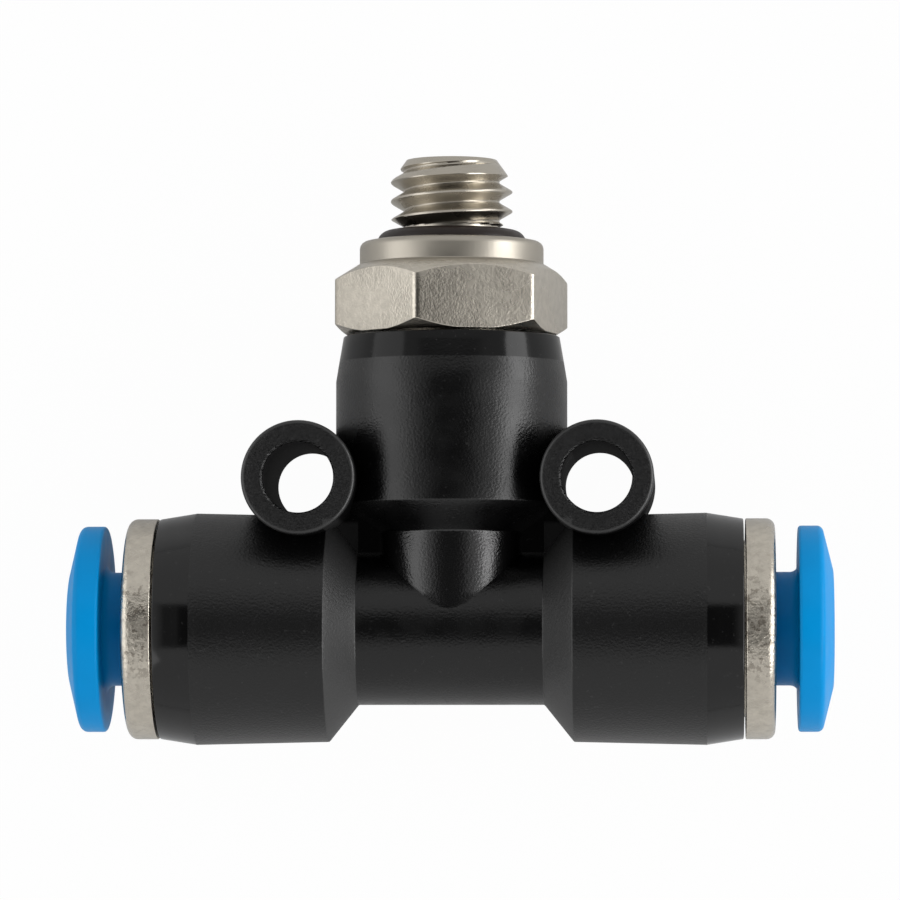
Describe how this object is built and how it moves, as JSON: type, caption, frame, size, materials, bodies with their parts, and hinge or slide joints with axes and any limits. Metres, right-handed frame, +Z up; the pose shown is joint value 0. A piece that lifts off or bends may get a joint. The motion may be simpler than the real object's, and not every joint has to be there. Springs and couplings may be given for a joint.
{
  "type": "push-to-connect tee fitting",
  "caption": "Small pneumatic tee: two in-line push-to-connect tube ports with release rings, two mounting eyes, and a swivelling male threaded stub with hexagon and seal ring.",
  "frame": {"origin": "centre of the footprint of the fitting lying on its back, on the surface that it lies on", "axes": "+X along the tube run towards the right port, +Y along the stem towards the thread tip, +Z up"},
  "size_m": [0.031, 0.024, 0.0095],
  "materials": {
    "black_plastic": "satin moulded, fine grain",
    "plated_brass": "turned brass, nickel plated, satin with bright edges",
    "blue_plastic": "semi-gloss moulded acetal",
    "black_rubber": "satin nitrile rubber",
    "white_plastic": "matte",
    "spring_steel": "bright spring steel"
  },
  "bodies": {
    "housing": {"housing": "black_plastic", "left_collar": "plated_brass", "right_collar": "plated_brass", "left_tube_seal": "black_rubber", "right_tube_seal": "black_rubber", "left_backup_ring": "white_plastic", "right_backup_ring": "white_plastic", "stub_retaining_clip": "spring_steel"},
    "stub": {"threaded_stub": "plated_brass", "thread_seal_ring": "black_rubber", "stub_o_ring": "black_rubber"},
    "left_release": {"left_release_ring": "blue_plastic", "left_claw_1": "spring_steel", "left_claw_2": "spring_steel", "left_claw_3": "spring_steel", "left_claw_4": "spring_steel"},
    "right_release": {"right_release_ring": "blue_plastic", "right_claw_1": "spring_steel", "right_claw_2": "spring_steel", "right_claw_3": "spring_steel", "right_claw_4": "spring_steel"}
  },
  "joints": [
    {"name": "stub_swivel", "type": "hinge", "parent": "housing", "child": "stub", "pos_m": [0, -0.00724, 0.00473], "axis": [0, 1, 0], "continuous": true},
    {"name": "left_release_push", "type": "slide", "parent": "housing", "child": "left_release", "axis": [1, 0, 0], "range_m": [0, 0.00085]},
    {"name": "right_release_push", "type": "slide", "parent": "housing", "child": "right_release", "axis": [-1, 0, 0], "range_m": [0, 0.00085]}
  ]
}
